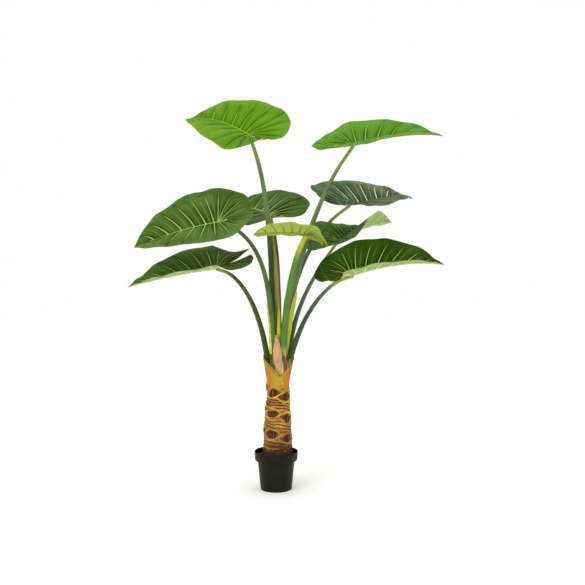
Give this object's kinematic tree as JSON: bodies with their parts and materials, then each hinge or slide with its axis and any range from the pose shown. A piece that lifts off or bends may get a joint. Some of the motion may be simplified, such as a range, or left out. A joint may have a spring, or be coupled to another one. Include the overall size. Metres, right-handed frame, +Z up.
{
  "type": "potted alocasia",
  "caption": "Tall alocasia house plant: heart-shaped waved leaves on long arching stalks over a stout trunk with old leaf folds, in a plain round nursery pot.",
  "frame": {"origin": "centre of the pot's underside, on the surface that the plant stands on", "axes": "+Z up along the pot's axis; -Y is the front, the side the picture was taken from; +X to the right there"},
  "size_m": [1.2015, 0.7255, 1.5108],
  "materials": {
    "pot_plastic": "satin black",
    "soil": "crumbly, moist",
    "trunk_bark": "ochre, old leaf folds",
    "dry_sheath": "dry, papery",
    "husk": "fibrous",
    "stalk": "smooth, fleshy, matt bloom",
    "stalk_young": "smooth, fleshy",
    "leaf_bright": "satin, pale veins",
    "leaf_young": "satin, furrowed",
    "leaf_dark": "satin, pale veins"
  },
  "bodies": {
    "root": {"pot": "pot_plastic", "soil": "soil", "trunk": "trunk_bark", "dry_sheath": "dry_sheath", "husk": "husk", "stalk_top_left": "stalk", "blade_top_left": "leaf_bright", "stalk_top_right": "stalk", "blade_top_right": "leaf_bright", "stalk_front_young": "stalk_young", "blade_front_young": "leaf_young", "stalk_back": "stalk", "blade_back": "leaf_dark", "stalk_middle_left": "stalk", "blade_middle_left": "leaf_dark", "stalk_lower_left": "stalk", "blade_lower_left": "leaf_dark", "stalk_lower_right": "stalk", "blade_lower_right": "leaf_dark", "stalk_right_rear": "stalk", "blade_right_rear": "leaf_dark", "stalk_middle_right": "stalk", "blade_middle_right": "leaf_dark"}
  },
  "joints": []
}
